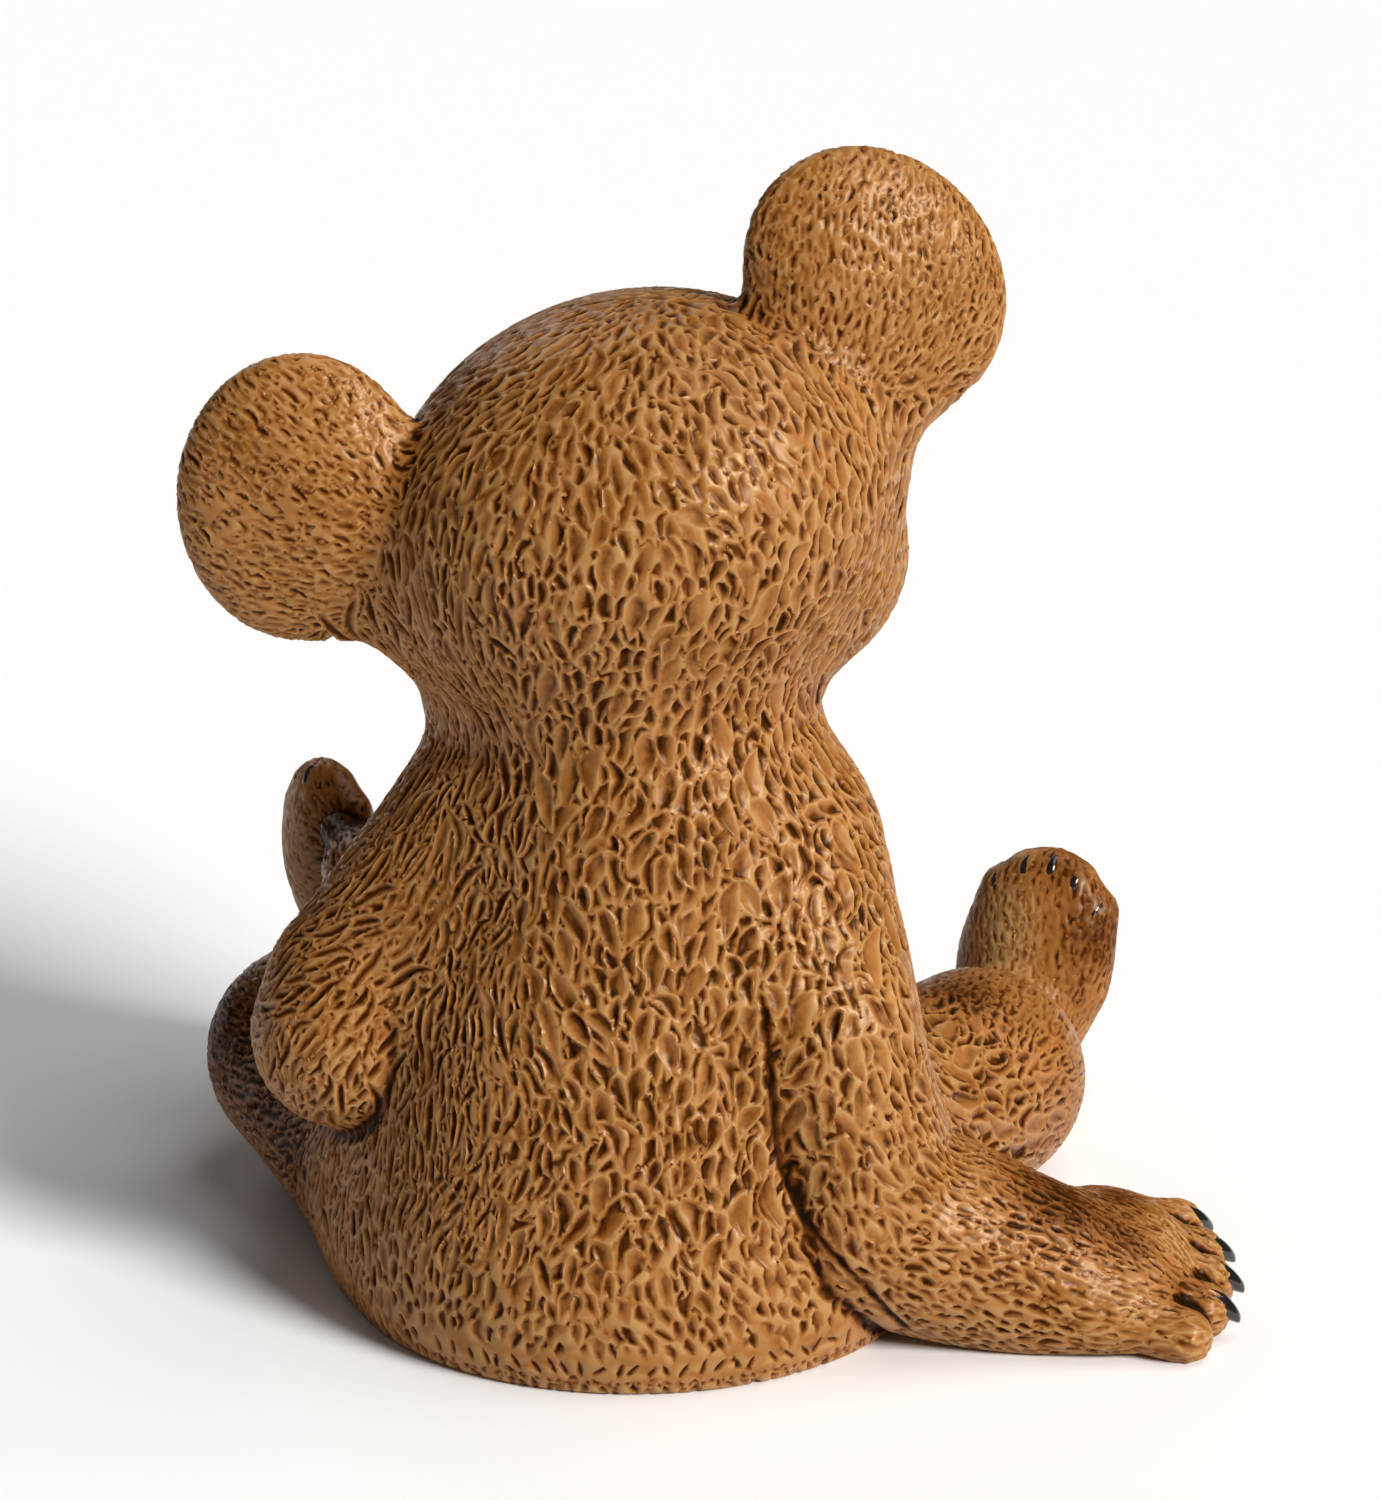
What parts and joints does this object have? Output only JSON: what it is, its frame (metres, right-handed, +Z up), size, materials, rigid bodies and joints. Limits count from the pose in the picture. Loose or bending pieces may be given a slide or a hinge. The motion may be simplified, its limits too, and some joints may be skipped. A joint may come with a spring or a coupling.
{
  "type": "bear figurine",
  "caption": "Seated bear cub figurine cast in resin, with carved fur, round ears, one arm propped on the ground and a flat underside to stand on.",
  "frame": {"origin": "on the flat underside, below the middle of the seated trunk", "axes": "+Z up, +Y the way the bear faces, +X towards the bear's right hand"},
  "size_m": [0.1438, 0.116, 0.1562],
  "materials": {
    "painted_resin": "hand-painted resin, honey brown with a dark brown wash in the recesses and a satin varnish",
    "black_enamel": "glossy black paint on claws, eyes and nose"
  },
  "bodies": {
    "root": {"bear": "painted_resin"}
  },
  "joints": []
}
